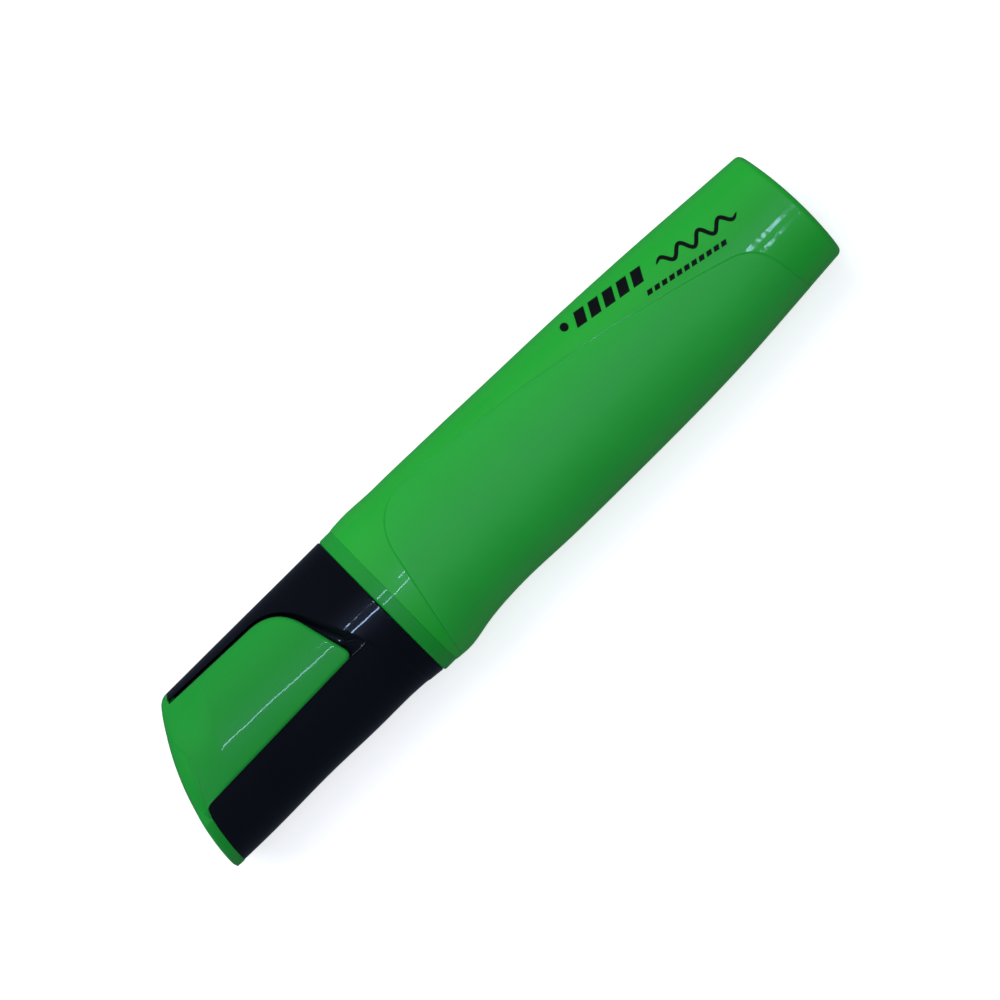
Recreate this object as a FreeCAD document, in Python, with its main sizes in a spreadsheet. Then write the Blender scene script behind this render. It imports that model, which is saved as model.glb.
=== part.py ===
"""Capped chisel-tip highlighter with a flat oval barrel, in millimetres.

It lies on its broad back face: +X runs along the barrel towards the writing end, +Y towards the belly
edge that the finger rests on, +Z up through the face that carries the clip. The origin is under the
middle of the pen, on the surface that it lies on.
"""

import FreeCAD, Part
import math
import os
import Sketcher

V = FreeCAD.Vector
doc = FreeCAD.newDocument("Highlighter")

# ---------------------------------------------------------------- driving dimensions

SIZES = {
    "mid_height": (8.3, "height of the pen's mid-plane, which holds the nib's axis"),
    # the tail end and the cap's end are both arcs in plan, about upright axes
    "tail_arc_x": (8.0, "centre of the tail's end arc"),
    "tail_arc_y": (3.0, "centre of the tail's end arc"),
    "tail_arc_radius": (70.0, "radius of the tail's end"),
    "tail_edge_radius": (0.8, "rounding of the tail's edge"),
    "cap_arc_x": (17.3, "centre of the cap's slanted end arc"),
    "cap_arc_y": (14.5, "centre of the cap's slanted end arc"),
    "cap_arc_radius": (45.0, "radius of the cap's slanted end"),
    "cap_edge_radius": (1.0, "rounding of the cap's end edge"),
    # shells
    "barrel_wall": (2.0, "barrel wall, with the grip's thickness in it"),
    "grip_thickness": (0.9, "soft grip moulded into the barrel"),
    "rib_thickness": (1.0, "ribs that centre the reservoir"),
    "cap_end_wall": (1.6, "black end wall behind the green cover"),
    "cap_core_inset": (2.2, "inset of the cap's inner hollow"),
    "cover_thickness": (1.7, "green cover on the cap's end"),
    "fit_gap": (0.05, "radial clearance of every fit"),
    # where things lie along the pen
    "barrel_front": (18.75, "front edge of the barrel"),
    "cap_mouth": (21.05, "face of the cap's mouth"),
    "plug_back": (12.0, "back end of the nose section"),
    "bore_bottom": (11.0, "bottom of the bore that takes the nose section"),
    "reservoir_back": (-50.0, "back end of the reservoir"),
    "reservoir_front": (17.0, "front end of the reservoir"),
    "chamber_front": (26.0, "front end of the air chamber round the nib"),
    "spigot_front": (24.8, "front of the oval spigot that the cap seats on"),
    "land_front": (30.5, "front of the round land that the inner cap seals on"),
    "nose_front": (36.5, "front face of the nose"),
    "nib_back": (11.0, "back end of the nib, inside the reservoir"),
    "nib_tip": (44.5, "foremost corner of the nib"),
    "seat_bottom": (26.0, "shoulder that the inner cap's flange rests on"),
    "inner_cap_end": (51.0, "closed end of the inner cap"),
    # ovals across the pen
    "plug_half_width": (10.65, "nose section inside the barrel"),
    "plug_half_thickness": (6.0, "nose section inside the barrel"),
    "collar_half_width": (12.86, "visible collar of the nose section"),
    "collar_half_thickness": (8.15, "visible collar of the nose section"),
    "collar_rounding": (0.35, "rounding of the collar's front edge"),
    "spigot_half_width": (10.95, "spigot that the cap seats on"),
    "spigot_half_thickness": (6.45, "spigot that the cap seats on"),
    "reservoir_half_width": (7.6, "fibre reservoir"),
    "reservoir_half_thickness": (4.6, "fibre reservoir"),
    "film_thickness": (0.15, "film wrapped round the reservoir"),
    "chamber_half_width": (4.2, "air chamber round the nib"),
    "chamber_half_thickness": (3.1, "air chamber round the nib"),
    # round nose and inner cap
    "land_radius": (4.95, "round land of the nose"),
    "nose_radius": (3.8, "front of the nose"),
    "inner_cap_wall": (0.65, "wall of the inner cap"),
    "inner_cap_flange": (1.0, "flange of the inner cap"),
    # nib
    "nib_width": (5.0, "broad side of the nib"),
    "nib_thickness": (3.4, "narrow side of the nib"),
    "nib_slant": (3.6, "how far the nib's edge slants back"),
    "nib_tail_length": (2.5, "tapered back end of the nib"),
    "nib_edge_radius": (0.45, "rounding of the nib's long edges"),
    "nib_tip_bevel": (1.05, "bevel that thins the nib to its writing edge"),
    "vent_width": (0.8, "air groove beside the nib"),
    # clip, and the channel that it lies in
    "clip_rise": (0.9, "clip's outer face above the cap's oval"),
    "clip_sink": (0.3, "clip's inner face below the cap's oval"),
    "root_inset": (0.15, "clip's end behind the cover's end"),
    "channel_depth": (1.2, "channel's floor below the cap's oval"),
    "clip_hinge": (51.5, "line where the clip's arm starts to flex"),
    "clip_spine_corner": (4.2, "rounding of the clip's corner on the spine side"),
    "clip_belly_corner": (1.3, "rounding of the clip's corner on the belly side"),
    "bead_radius": (2.2, "ball of the bead that pinches paper"),
    "bead_drop": (0.72, "how far the bead stands down from the clip"),
    "bead_x": (32.6, "place of the bead along the pen"),
    "bead_y": (-3.6, "place of the bead across the pen"),
    "peg_radius": (1.6, "pegs that hold the cover on the cap"),
    "peg_reach": (1.0, "how far the pegs pass through the wall"),
    "peg_spine_y": (-4.6, "peg nearer the spine"),
    "peg_belly_y": (5.4, "peg nearer the belly"),
    # grip outline
    "grip_arc_radius": (260.0, "long edge of the grip, seen from above"),
    "grip_front_corner": (7.0, "rounding of the grip's front corner"),
    "grip_tail_corner": (4.5, "rounding of the grip's tail corner"),
}

# Each station along a form: place, reach to the spine edge, reach to the belly edge, half thickness
BARREL_STATIONS = {
    "front": (18.75, 12.93, 12.93, 8.2),
    "shoulder": (15.75, 13.1, 13.05, 8.3),
    "fall": (12.0, 12.92, 12.42, 8.15),
    "rest_start": (7.5, 12.84, 11.93, 8.0),
    "finger_rest": (2.5, 12.73, 11.8, 7.9),
    "rest_end": (-3.5, 12.6, 12.02, 7.9),
    "palm": (-11.0, 12.38, 12.15, 7.9),
    "middle": (-20.0, 12.15, 12.17, 7.9),
    "taper": (-30.0, 11.8, 12.1, 7.75),
    "heel": (-41.0, 11.25, 11.75, 7.4),
    "ankle": (-52.0, 10.55, 10.95, 6.95),
    "tail": (-63.0, 9.85, 10.1, 6.5),
}
CAP_STATIONS = {
    "mouth": (21.05, 12.88, 12.62, 8.12),
    "ridge": (25.5, 12.86, 12.22, 8.04),
    "front_third": (33.0, 12.86, 12.16, 8.0),
    "waist": (43.0, 12.86, 11.95, 7.95),
    "back_third": (53.0, 12.85, 12.1, 8.0),
    "beyond": (63.5, 12.84, 11.95, 8.0),
}

# Corners of the outlines seen from above
OUTLINES = {
    "grip": [(18.0, 14.5), (12.8, -11.1), (-53.2, 1.0), (-55.5, 14.5)],
    "clip": [(64.0, -12.0), (31.9, -10.8), (28.6, 2.0), (64.0, 3.15)],
    "channel": [(64.0, -12.35), (31.7, -11.3), (25.4, 2.4), (64.0, 3.5)],
}

sheet = doc.addObject("Spreadsheet::Sheet", "Sizes")
sheet_rows = iter(range(1, 400))


def cell(alias, value, note=""):
    """One driving dimension: its name, its value and what it is."""
    row = next(sheet_rows)
    sheet.set(f"A{row}", alias)
    sheet.set(f"B{row}", str(value))
    sheet.set(f"C{row}", note)
    sheet.setAlias(f"B{row}", alias)


for alias, (value, note) in SIZES.items():
    cell(alias, value, note)
for form, stations in (("barrel", BARREL_STATIONS), ("cap", CAP_STATIONS)):
    for station, values in stations.items():
        for kind, value in zip(("place", "spine", "belly", "depth"), values):
            cell(f"{form}_{station}_{kind}", value)
for outline, corners in OUTLINES.items():
    for number, (x, y) in enumerate(corners):
        cell(f"{outline}_corner_{number}_x", x)
        cell(f"{outline}_corner_{number}_y", y)
doc.recompute()


def of(expression):
    """The expression with each alias read from the sheet."""
    words = expression.replace("(", "( ").replace(")", " )").split()
    return " ".join(w if not w[0].isalpha() else f"Sizes.{w}" for w in words)


def value(alias):
    """The number in a cell."""
    return float(sheet.get(alias))


# ---------------------------------------------------------------- sketches and features


def plane_sketch(body, name, role, across="0", up="0", along="0"):
    """A sketch on one of the body's origin planes, its own origin moved by three expressions."""
    sketch = body.newObject("Sketcher::SketchObject", name)
    plane = [f for f in body.Origin.OriginFeatures if f.Role == role][0]
    sketch.AttachmentSupport = (plane, [""])
    sketch.MapMode = "FlatFace"
    for axis, expression in zip("xyz", (across, up, along)):
        if expression != "0":
            sketch.setExpression(f"AttachmentOffset.Base.{axis}", of(expression))
    return sketch


def bind(sketch, name, constraint, expression):
    """A dimension of the sketch, bound to the sheet."""
    index = sketch.addConstraint(constraint)
    sketch.renameConstraint(index, name)
    sketch.setExpression(f"Constraints.{name}", of(expression))


def oval_sketch(body, name, place, half_width, half_thickness, centre="0"):
    """An ellipse across the pen at a place along it, with its centre on the mid-plane."""
    sketch = plane_sketch(body, name, "YZ_Plane", centre, "mid_height", place)
    ellipse = sketch.addGeometry(Part.Ellipse(V(0, 0, 0), 9, 5), False)
    sketch.exposeInternalGeometry(ellipse)
    major, minor = ellipse + 1, ellipse + 2
    sketch.addConstraint(Sketcher.Constraint("Coincident", ellipse, 3, -1, 1))
    sketch.addConstraint(Sketcher.Constraint("Horizontal", major))
    bind(sketch, "width", Sketcher.Constraint("Distance", major, 18), f"2 * ( {half_width} )")
    bind(sketch, "depth", Sketcher.Constraint("Distance", minor, 10), f"2 * ( {half_thickness} )")
    return sketch


def round_sketch(body, name, place, radius, centre="0"):
    """A circle across the pen at a place along it."""
    sketch = plane_sketch(body, name, "YZ_Plane", centre, "mid_height", place)
    sketch.addGeometry(Part.Circle(V(0, 0, 0), V(0, 0, 1), 3), False)
    sketch.addConstraint(Sketcher.Constraint("Coincident", 0, 3, -1, 1))
    bind(sketch, "radius", Sketcher.Constraint("Radius", 0, 3), radius)
    return sketch


def box_sketch(body, name, place, width, height, up="mid_height"):
    """A rectangle across the pen, centred on the nib's axis or on another height."""
    sketch = plane_sketch(body, name, "YZ_Plane", "0", up, place)
    corners = [V(-2, -1, 0), V(2, -1, 0), V(2, 1, 0), V(-2, 1, 0)]
    for number in range(4):
        sketch.addGeometry(Part.LineSegment(corners[number], corners[(number + 1) % 4]), False)
    for number in range(4):
        sketch.addConstraint(Sketcher.Constraint("Coincident", number, 2, (number + 1) % 4, 1))
        direction = "Vertical" if number % 2 else "Horizontal"
        sketch.addConstraint(Sketcher.Constraint(direction, number))
    sketch.addConstraint(Sketcher.Constraint("Symmetric", 0, 1, 1, 2, -1, 1))
    bind(sketch, "width", Sketcher.Constraint("Distance", 0, 4), width)
    bind(sketch, "height", Sketcher.Constraint("Distance", 1, 2), height)
    return sketch


def new_body(name):
    return doc.addObject("PartDesign::Body", name)


def pad(body, sketch, length):
    """Adds material from the sketch towards the writing end."""
    feature = body.newObject("PartDesign::Pad", f"{sketch.Name}_pad")
    feature.Profile = sketch
    feature.setExpression("Length", of(length))
    return feature


def pocket(body, sketch, length):
    """Takes material away from the sketch towards the tail."""
    feature = body.newObject("PartDesign::Pocket", f"{sketch.Name}_pocket")
    feature.Profile = sketch
    feature.setExpression("Length", of(length))
    return feature


def loft(body, name, sketches):
    feature = body.newObject("PartDesign::AdditiveLoft", name)
    feature.Profile = sketches[0]
    feature.Sections = sketches[1:]
    feature.Ruled = False
    return feature


def form_body(name, form, stations, offset):
    """The barrel's or the cap's outer form, grown by an offset: a smooth loft through its ovals."""
    body = new_body(name)
    sketches = []
    for station in stations:
        key = f"{form}_{station}"
        sketches.append(
            oval_sketch(
                body,
                f"{name}_{station}",
                f"{key}_place",
                f"( {key}_spine + {key}_belly ) / 2 + {offset}",
                f"{key}_depth + {offset}",
                f"( {key}_belly - {key}_spine ) / 2",
            )
        )
    loft(body, f"{name}_loft", sketches)
    return body


def bulging_side(start, end, radius):
    """A shallow arc between two points, bulging towards the spine edge."""
    chord = start - end
    middle = (start + end) / 2
    inward = V(-chord.y, chord.x, 0).normalize()
    centre = middle + inward * math.sqrt(radius**2 - (chord.Length / 2) ** 2)
    angles = [math.atan2(p.y - centre.y, p.x - centre.x) for p in (end, start)]
    return Part.ArcOfCircle(Part.Circle(centre, V(0, 0, 1), radius), *angles)


def outline_sketch(body, name, outline, bulge=None):
    """A closed outline in plan; the second side is an arc where bulge names its radius."""
    sketch = plane_sketch(body, name, "XY_Plane")
    corners = [V(x, y, 0) for x, y in OUTLINES[outline]]
    count = len(corners)
    # which end of each side comes first on the way round
    ends = {number: (1, 2) for number in range(count)}
    for number in range(count):
        start, end = corners[number], corners[(number + 1) % count]
        if bulge and number == 1:
            sketch.addGeometry(bulging_side(start, end, value(bulge)), False)
            ends[number] = (2, 1)
        else:
            sketch.addGeometry(Part.LineSegment(start, end), False)
    for number in range(count):
        following = (number + 1) % count
        joint = Sketcher.Constraint("Coincident", number, ends[number][1], following, ends[following][0])
        sketch.addConstraint(joint)
    for number, corner in enumerate(corners):
        key = f"{outline}_corner_{number}"
        point = (number, ends[number][0])
        bind(sketch, f"x{number}", Sketcher.Constraint("DistanceX", -1, 1, *point, corner.x), f"{key}_x")
        bind(sketch, f"y{number}", Sketcher.Constraint("DistanceY", -1, 1, *point, corner.y), f"{key}_y")
    if bulge:
        bind(sketch, "bulge", Sketcher.Constraint("Radius", 1, value(bulge)), bulge)
    return sketch


def upright_edge(shape, x, y):
    """The name of the upright edge over a point in plan."""
    for number, edge in enumerate(shape.Edges, 1):
        ends = [v.Point for v in edge.Vertexes]
        if len(ends) == 2 and all(abs(p.x - x) < 0.01 and abs(p.y - y) < 0.01 for p in ends):
            return f"Edge{number}"
    raise RuntimeError(f"no upright edge at {x}, {y}")


def round_corner(body, feature, outline, corner, radius):
    """Rounds one upright edge of a prism."""
    doc.recompute()
    edge = upright_edge(feature.Shape, *OUTLINES[outline][corner])
    fillet = body.newObject("PartDesign::Fillet", f"{body.Name}_round_{corner}")
    fillet.Base = (feature, [edge])
    fillet.setExpression("Radius", of(radius))
    return fillet


def outline_body(name, outline, start, rounded, bulge=None):
    """A prism over an outline in plan, from a height upwards, with some corners rounded."""
    body = new_body(name)
    sketch = outline_sketch(body, f"{name}_outline", outline, bulge)
    if start != "0":
        sketch.setExpression("AttachmentOffset.Base.z", of(start))
    feature = pad(body, sketch, "3 * mid_height")
    for corner, radius in rounded:
        feature = round_corner(body, feature, outline, corner, radius)
    return body


def boolean(kind, name, base, tool):
    feature = doc.addObject(f"Part::{kind}", name)
    feature.Base = base
    feature.Tool = tool
    return feature


def cut(name, base, tool):
    return boolean("Cut", name, base, tool)


def common(name, base, tool):
    return boolean("Common", name, base, tool)


def fuse(name, *pieces):
    feature = doc.addObject("Part::MultiFuse", name)
    feature.Shapes = list(pieces)
    return feature


def arc_cylinder(name, end, inset):
    """An upright cylinder whose side is the tail's or the cap's end arc, moved in by an inset."""
    cylinder = doc.addObject("Part::Cylinder", name)
    cylinder.setExpression("Radius", of(f"{end}_arc_radius - ( {inset} )"))
    cylinder.setExpression("Height", of("4 * mid_height"))
    cylinder.setExpression("Placement.Base.x", of(f"{end}_arc_x"))
    cylinder.setExpression("Placement.Base.y", of(f"{end}_arc_y"))
    cylinder.setExpression("Placement.Base.z", of("-1 * mid_height"))
    return cylinder


def box(name, low, high):
    """A box between two corners given as expressions."""
    solid = doc.addObject("Part::Box", name)
    for axis, side, a, b in zip("xyz", ("Length", "Width", "Height"), low, high):
        solid.setExpression(side, of(f"( {b} ) - ( {a} )"))
        solid.setExpression(f"Placement.Base.{axis}", of(a))
    return solid


parts = []


def name_part(feature, label):
    """Marks a finished sub-part and gives it the name that its file has."""
    feature.Label = label
    parts.append(feature)
    return feature


# ---------------------------------------------------------------- barrel and grip


def make_barrel_and_grip():
    outer = form_body("BarrelForm", "barrel", BARREL_STATIONS, "0")
    under_grip = form_body("UnderGripForm", "barrel", BARREL_STATIONS, "-1 * grip_thickness")
    hollow = form_body("HollowForm", "barrel", BARREL_STATIONS, "-1 * barrel_wall")

    rough = common("BarrelEnded", outer, arc_cylinder("TailArc", "tail", "0"))
    doc.recompute()
    rounded = doc.addObject("Part::Fillet", "BarrelRounded")
    rounded.Base = rough
    radius = value("tail_edge_radius")
    tail_edges = [
        (number, radius, radius)
        for number, edge in enumerate(rough.Shape.Edges, 1)
        if edge.CenterOfMass.x < -50 and edge.BoundBox.YLength > 5 and edge.BoundBox.XLength < 5
    ]
    rounded.Edges = tail_edges

    # the grip lies in a seat of its own thickness, on the face, round the belly and on the back
    corners = [(1, "grip_front_corner"), (2, "grip_tail_corner")]
    region = outline_body("GripRegion", "grip", "-1 * mid_height", corners, "grip_arc_radius")
    skin = cut("GripSkin", outer, under_grip)
    grip = common("Grip", skin, region)
    name_part(grip, "grip")

    # the hollow leaves a cross of ribs standing outside the reservoir and behind it
    ended = common("HollowEnded", hollow, arc_cylinder("HollowTailArc", "tail", "barrel_wall"))
    upright_rib = box(
        "UprightRibs",
        ("tail_arc_x - tail_arc_radius", "-0.5 * rib_thickness", "0"),
        ("bore_bottom", "0.5 * rib_thickness", "2 * mid_height"),
    )
    level_rib = box(
        "LevelRibs",
        ("tail_arc_x - tail_arc_radius", "-2 * mid_height", "mid_height - 0.5 * rib_thickness"),
        ("bore_bottom", "2 * mid_height", "mid_height + 0.5 * rib_thickness"),
    )
    slots = cut("HollowRibbed", ended, fuse("RibCross", upright_rib, level_rib))
    bores = new_body("BarrelBores")
    reservoir = oval_sketch(
        bores,
        "ReservoirRoom",
        "reservoir_back",
        "reservoir_half_width + film_thickness + fit_gap",
        "reservoir_half_thickness + film_thickness + fit_gap",
    )
    pad(bores, reservoir, "bore_bottom + 1 - reservoir_back")
    mouth = oval_sketch(
        bores, "MouthBore", "bore_bottom", "plug_half_width + fit_gap", "plug_half_thickness + fit_gap"
    )
    pad(bores, mouth, "cap_mouth - bore_bottom")
    void = fuse("BarrelVoid", slots, bores)
    seated = cut("BarrelSeated", rounded, grip)
    name_part(cut("Barrel", seated, void), "barrel")


# ---------------------------------------------------------------- nose section, nib, reservoir


def make_nose_section():
    """The one moulding that closes the barrel, seats the cap and holds the nib."""
    body = new_body("NoseSection")
    plug = oval_sketch(body, "Plug", "plug_back", "plug_half_width", "plug_half_thickness")
    pad(body, plug, "barrel_front - plug_back")
    collar = oval_sketch(body, "Collar", "barrel_front", "collar_half_width", "collar_half_thickness")
    collar_pad = pad(body, collar, "cap_mouth - barrel_front")
    doc.recompute()
    rim = [
        f"Edge{number}"
        for number, edge in enumerate(collar_pad.Shape.Edges, 1)
        if edge.BoundBox.XLength < 0.01 and abs(edge.BoundBox.XMin - value("cap_mouth")) < 0.01
    ]
    rounding = body.newObject("PartDesign::Fillet", "CollarRounding")
    rounding.Base = (collar_pad, rim)
    rounding.setExpression("Radius", of("collar_rounding"))
    spigot = oval_sketch(body, "Spigot", "cap_mouth", "spigot_half_width", "spigot_half_thickness")
    pad(body, spigot, "spigot_front - cap_mouth")
    land = round_sketch(body, "Land", "spigot_front", "land_radius")
    pad(body, land, "land_front - spigot_front")
    cone_start = round_sketch(body, "ConeStart", "land_front", "land_radius")
    cone_end = round_sketch(body, "ConeEnd", "nose_front", "nose_radius")
    loft(body, "NoseCone", [cone_start, cone_end])

    room = oval_sketch(
        body,
        "ReservoirSocket",
        "reservoir_front",
        "reservoir_half_width + film_thickness + fit_gap",
        "reservoir_half_thickness + film_thickness + fit_gap",
    )
    pocket(body, room, "reservoir_front - plug_back")
    chamber = oval_sketch(
        body, "AirChamber", "chamber_front", "chamber_half_width", "chamber_half_thickness"
    )
    pocket(body, chamber, "chamber_front - plug_back")
    nib_slot = box_sketch(body, "NibSlot", "nose_front", "nib_width + fit_gap", "nib_thickness + fit_gap")
    pocket(body, nib_slot, "nose_front - plug_back")
    vent = box_sketch(body, "Vent", "nose_front", "vent_width", "nib_thickness + 2 * vent_width")
    pocket(body, vent, "nose_front - chamber_front + 1")
    name_part(body, "nose_section")


def make_nib():
    """A felt bar with a slanting edge, thinned to that edge and tapered where it enters the reservoir."""
    body = new_body("Nib")
    sketch = plane_sketch(body, "NibPlan", "XY_Plane", "0", "0", "mid_height - 0.5 * nib_thickness")
    back, tip = value("nib_back"), value("nib_tip")
    half, taper = value("nib_width") / 2, value("nib_tail_length")
    slant = value("nib_slant")
    corners = [
        ("nib_back", "-0.25 * nib_width", back, -half / 2),
        ("nib_back + nib_tail_length", "-0.5 * nib_width", back + taper, -half),
        ("nib_tip - nib_slant", "-0.5 * nib_width", tip - slant, -half),
        ("nib_tip", "0.5 * nib_width", tip, half),
        ("nib_back + nib_tail_length", "0.5 * nib_width", back + taper, half),
        ("nib_back", "0.25 * nib_width", back, half / 2),
    ]
    points = [V(x, y, 0) for _, _, x, y in corners]
    count = len(points)
    for number in range(count):
        sketch.addGeometry(Part.LineSegment(points[number], points[(number + 1) % count]), False)
    for number in range(count):
        sketch.addConstraint(Sketcher.Constraint("Coincident", number, 2, (number + 1) % count, 1))
    for number, (across, up, x, y) in enumerate(corners):
        bind(sketch, f"x{number}", Sketcher.Constraint("DistanceX", -1, 1, number, 1, x), across)
        bind(sketch, f"y{number}", Sketcher.Constraint("DistanceY", -1, 1, number, 1, y), up)
    bar = pad(body, sketch, "nib_thickness")
    doc.recompute()

    def along_tip(edge):
        box_of_edge = edge.BoundBox
        return box_of_edge.XMax > tip - 0.01 and box_of_edge.YLength > half and box_of_edge.ZLength < 0.01

    bevel = body.newObject("PartDesign::Chamfer", "NibBevel")
    edges = [f"Edge{number}" for number, edge in enumerate(bar.Shape.Edges, 1) if along_tip(edge)]
    bevel.Base = (bar, edges)
    bevel.setExpression("Size", of("nib_tip_bevel"))
    doc.recompute()
    long_edges = [
        f"Edge{number}"
        for number, edge in enumerate(bevel.Shape.Edges, 1)
        if edge.BoundBox.XLength > 15 and edge.BoundBox.YLength < 0.01
    ]
    rounding = body.newObject("PartDesign::Fillet", "NibRounding")
    rounding.Base = (bevel, long_edges)
    rounding.setExpression("Radius", of("nib_edge_radius"))
    name_part(body, "nib")


def make_reservoir():
    core = new_body("Reservoir")
    rod = oval_sketch(
        core,
        "FibreRod",
        "reservoir_back + 0.2",
        "reservoir_half_width - 0.02",
        "reservoir_half_thickness - 0.02",
    )
    pad(core, rod, "reservoir_front - reservoir_back - 0.4")
    socket = box_sketch(core, "NibSocket", "reservoir_front", "nib_width", "nib_thickness")
    pocket(core, socket, "reservoir_front - nib_back")
    name_part(core, "ink_reservoir")

    film = new_body("ReservoirFilm")
    outside = oval_sketch(
        film,
        "FilmOutside",
        "reservoir_back",
        "reservoir_half_width + film_thickness",
        "reservoir_half_thickness + film_thickness",
    )
    pad(film, outside, "reservoir_front - reservoir_back")
    inside = oval_sketch(
        film, "FilmInside", "reservoir_front", "reservoir_half_width", "reservoir_half_thickness"
    )
    pocket(film, inside, "reservoir_front - reservoir_back")
    name_part(film, "reservoir_film")


# ---------------------------------------------------------------- cap, inner cap, cover and clip


def make_inner_cap():
    """A round cup that seals on the nose, hung from an oval flange."""
    body = new_body("InnerCap")
    flange = oval_sketch(
        body, "Flange", "seat_bottom - inner_cap_flange", "spigot_half_width", "spigot_half_thickness"
    )
    pad(body, flange, "inner_cap_flange")
    cup = round_sketch(body, "Cup", "seat_bottom", "land_radius + fit_gap + inner_cap_wall")
    pad(body, cup, "inner_cap_end - seat_bottom")
    bore = round_sketch(body, "CupBore", "inner_cap_end - inner_cap_wall", "land_radius + fit_gap")
    pocket(body, bore, "inner_cap_end - inner_cap_wall - seat_bottom + inner_cap_flange")
    name_part(body, "inner_cap")


def rounded_end(name, form, inset):
    """The cap's form cut to its slanted end arc, with that end's edge rounded."""
    ended = common(f"{name}Ended", form, arc_cylinder(f"{name}Arc", "cap", inset))
    doc.recompute()
    rounded = doc.addObject("Part::Fillet", name)
    rounded.Base = ended
    radius = value("cap_edge_radius")
    rounded.Edges = [
        (number, radius, radius)
        for number, edge in enumerate(ended.Shape.Edges, 1)
        if edge.BoundBox.XMin > 50 and edge.BoundBox.YLength > 5
    ]
    return rounded


def peg_rods(name, extra):
    """Two rods along the pen, trimmed to the cap's end arc by whoever uses them."""
    rods = new_body(name)
    for side in ("spine", "belly"):
        radius = f"peg_radius + {extra}"
        section = round_sketch(rods, f"{name}_{side}", "nose_front", radius, f"peg_{side}_y")
        pad(rods, section, "cap_beyond_place + 1 - nose_front")
    return rods


def make_cap():
    """The black shell: the cap's form less its channel, its hollow, its seat and the peg holes."""
    outer = rounded_end("CapForm", form_body("CapOval", "cap", CAP_STATIONS, "0"), "0")
    blank = common("CapBlank", outer, arc_cylinder("ShellArc", "cap", "cover_thickness"))
    floor_form = form_body("ChannelFloor", "cap", CAP_STATIONS, "-1 * channel_depth")
    corners = [(1, "clip_spine_corner"), (2, "clip_belly_corner")]
    region = outline_body("ChannelRegion", "channel", "mid_height", corners)
    channelled = cut("CapChannelled", blank, cut("ChannelTool", region, floor_form))

    core_form = form_body("CapCoreForm", "cap", CAP_STATIONS, "-1 * cap_core_inset")
    core_end = arc_cylinder("CoreArc", "cap", "cover_thickness + cap_end_wall")
    behind_seat = box(
        "BehindSeat",
        ("seat_bottom", "-2 * mid_height", "-1 * mid_height"),
        ("cap_beyond_place", "2 * mid_height", "3 * mid_height"),
    )
    core = common("CapCore", common("CapCoreEnded", core_form, core_end), behind_seat)
    seat = new_body("CapSeat")
    seat_oval = oval_sketch(
        seat, "SeatOval", "cap_mouth - 1", "spigot_half_width + fit_gap", "spigot_half_thickness + fit_gap"
    )
    pad(seat, seat_oval, "seat_bottom - cap_mouth + 1.5")
    name_part(cut("Cap", channelled, fuse("CapVoid", core, seat, peg_rods("PegHoles", "fit_gap"))), "cap")
    return outer


def make_cover_and_clip(cap_form):
    """The green moulding, split where the clip's arm starts to flex."""
    grown = rounded_end("ClipForm", form_body("ClipOval", "cap", CAP_STATIONS, "clip_rise"), "root_inset")
    corners = [(1, "clip_spine_corner"), (2, "clip_belly_corner")]
    region = outline_body("ClipRegion", "clip", "mid_height", corners)
    strip = common("ClipStrip", grown, region)

    arm_side = box(
        "ArmSide", ("0", "-2 * mid_height", "0"), ("clip_hinge", "2 * mid_height", "3 * mid_height")
    )
    under_arm = form_body("UnderArm", "cap", CAP_STATIONS, "-1 * clip_sink")
    plate = cut("ClipPlate", common("ClipArmStrip", strip, arm_side), under_arm)
    ball = doc.addObject("Part::Sphere", "BeadBall")
    ball.setExpression("Radius", of("bead_radius"))
    ball.setExpression("Placement.Base.x", of("bead_x"))
    ball.setExpression("Placement.Base.y", of("bead_y"))
    ball.setExpression(
        "Placement.Base.z",
        of("mid_height + cap_front_third_depth - clip_sink - bead_drop + bead_radius - 0.3"),
    )
    bead = common("Bead", ball, grown)
    name_part(fuse("Clip", plate, bead), "clip")

    under_root = form_body("UnderRoot", "cap", CAP_STATIONS, "fit_gap - channel_depth")
    root = cut("ClipRoot", cut("ClipRootStrip", strip, arm_side), under_root)
    plate_form = cut("CoverPlate", cap_form, arc_cylinder("CoverArc", "cap", "cover_thickness - fit_gap"))
    rods = common("PegsEnded", peg_rods("Pegs", "0"), arc_cylinder("PegArc", "cap", "0.5 * cover_thickness"))
    peg_end = arc_cylinder("PegEndArc", "cap", "cover_thickness + cap_end_wall + peg_reach")
    cover = fuse("Cover", plate_form, root, cut("PegsCut", rods, peg_end))
    name_part(cover, "cap_cover")


# ---------------------------------------------------------------- make, check and write

make_barrel_and_grip()
make_nose_section()
make_nib()
make_reservoir()
make_inner_cap()
make_cover_and_clip(make_cap())
doc.recompute()

for item in doc.Objects:
    if "Invalid" in item.State or "Error" in item.State:
        raise RuntimeError(f"{item.Name} did not build: {item.State}")

os.makedirs("parts", exist_ok=True)
for feature in parts:
    shape = feature.Shape
    if shape.isNull() or not shape.isValid() or len(shape.Solids) != 1:
        raise RuntimeError(f"{feature.Label} is not one valid solid: {len(shape.Solids)}")
    shape.exportStep(f"parts/{feature.Label}.step")
    print(feature.Label, round(shape.Volume, 1), shape.BoundBox)
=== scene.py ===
"""Studio picture of a capped flat highlighter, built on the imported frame."""

import math

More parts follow.
